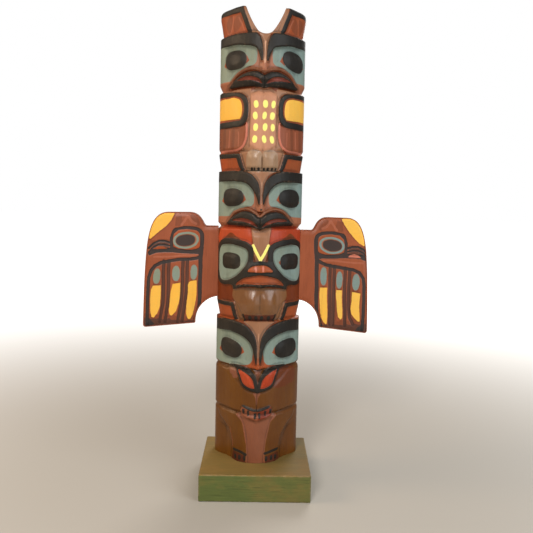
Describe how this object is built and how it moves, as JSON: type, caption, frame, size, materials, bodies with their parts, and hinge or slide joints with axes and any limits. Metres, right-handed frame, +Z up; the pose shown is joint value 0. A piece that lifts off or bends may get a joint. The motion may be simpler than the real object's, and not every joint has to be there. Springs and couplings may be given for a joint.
{
  "type": "totem pole",
  "caption": "Carved and painted model totem pole: a half-round log of stacked bird heads and figures, with outspread board wings, standing on a sawn wooden base block.",
  "frame": {"origin": "centre of the base block's underside", "axes": "+Z up the pole, the carved front faces -Y, +X is to the viewer's right"},
  "size_m": [0.3002, 0.12, 0.608],
  "materials": {
    "pole_wood": "stained and painted, satin varnish",
    "wing_wood": "painted, satin varnish",
    "base_wood": "thin matt paint on sawn wood"
  },
  "bodies": {
    "root": {"pole": "pole_wood", "wing_left": "wing_wood", "wing_right": "wing_wood", "base_block": "base_wood"}
  },
  "joints": []
}
